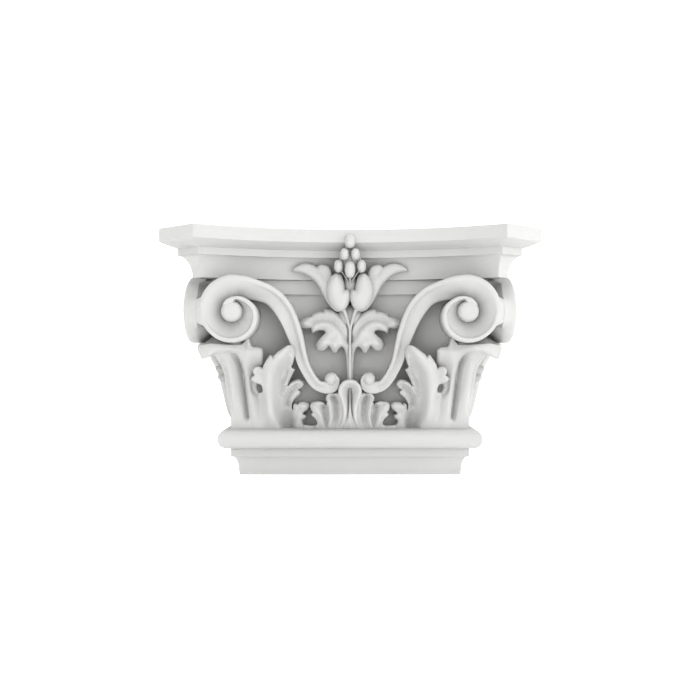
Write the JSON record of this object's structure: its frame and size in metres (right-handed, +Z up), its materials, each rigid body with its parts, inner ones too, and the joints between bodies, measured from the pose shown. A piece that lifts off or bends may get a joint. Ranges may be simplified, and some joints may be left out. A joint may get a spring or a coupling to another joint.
{
  "type": "pilaster capital",
  "caption": "Composite-style pilaster capital: concave moulded abacus, corner volutes with scrolls, fluted corner leaves, acanthus, bud spray and astragal, flat at the back.",
  "frame": {"origin": "centre of the flat bed on the underside, which sits on top of the pilaster", "axes": "+X to the right seen from the front, -Y out of the carved front, +Y into the wall, +Z up"},
  "size_m": [0.4, 0.1499, 0.2622],
  "materials": {
    "white_plaster": "matt white cast plaster, faintly chalky, unpainted look"
  },
  "bodies": {
    "root": {"pilaster_capital": "white_plaster"}
  },
  "joints": []
}
